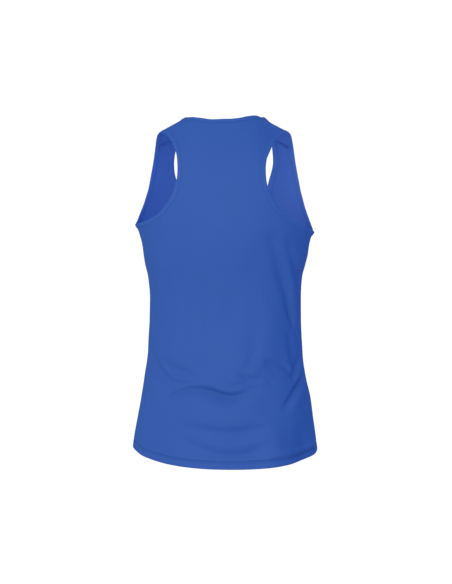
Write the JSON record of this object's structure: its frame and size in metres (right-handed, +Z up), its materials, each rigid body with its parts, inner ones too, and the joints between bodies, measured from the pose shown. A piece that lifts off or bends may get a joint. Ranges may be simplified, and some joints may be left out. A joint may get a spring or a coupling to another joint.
{
  "type": "boxing top",
  "caption": "Sleeveless knit boxing vest in its worn form, with a cut-in back, a scooped front neck, bound neck and armholes and a turned, curved hem.",
  "frame": {"origin": "midway between the inner tops of the two shoulder straps, where the wearer's shoulders carry the vest", "axes": "+Z up along the body, -Y the wearer's front, +X the wearer's left"},
  "size_m": [0.3679, 0.2419, 0.6884],
  "materials": {
    "panel_knit": "smooth cobalt blue polyester interlock knit with a faint sheen",
    "binding_knit": "the same cobalt blue knit, folded"
  },
  "bodies": {
    "root": {"back": "panel_knit", "front": "panel_knit", "neck_binding": "binding_knit", "armhole_binding_left": "binding_knit", "armhole_binding_right": "binding_knit"}
  },
  "joints": []
}
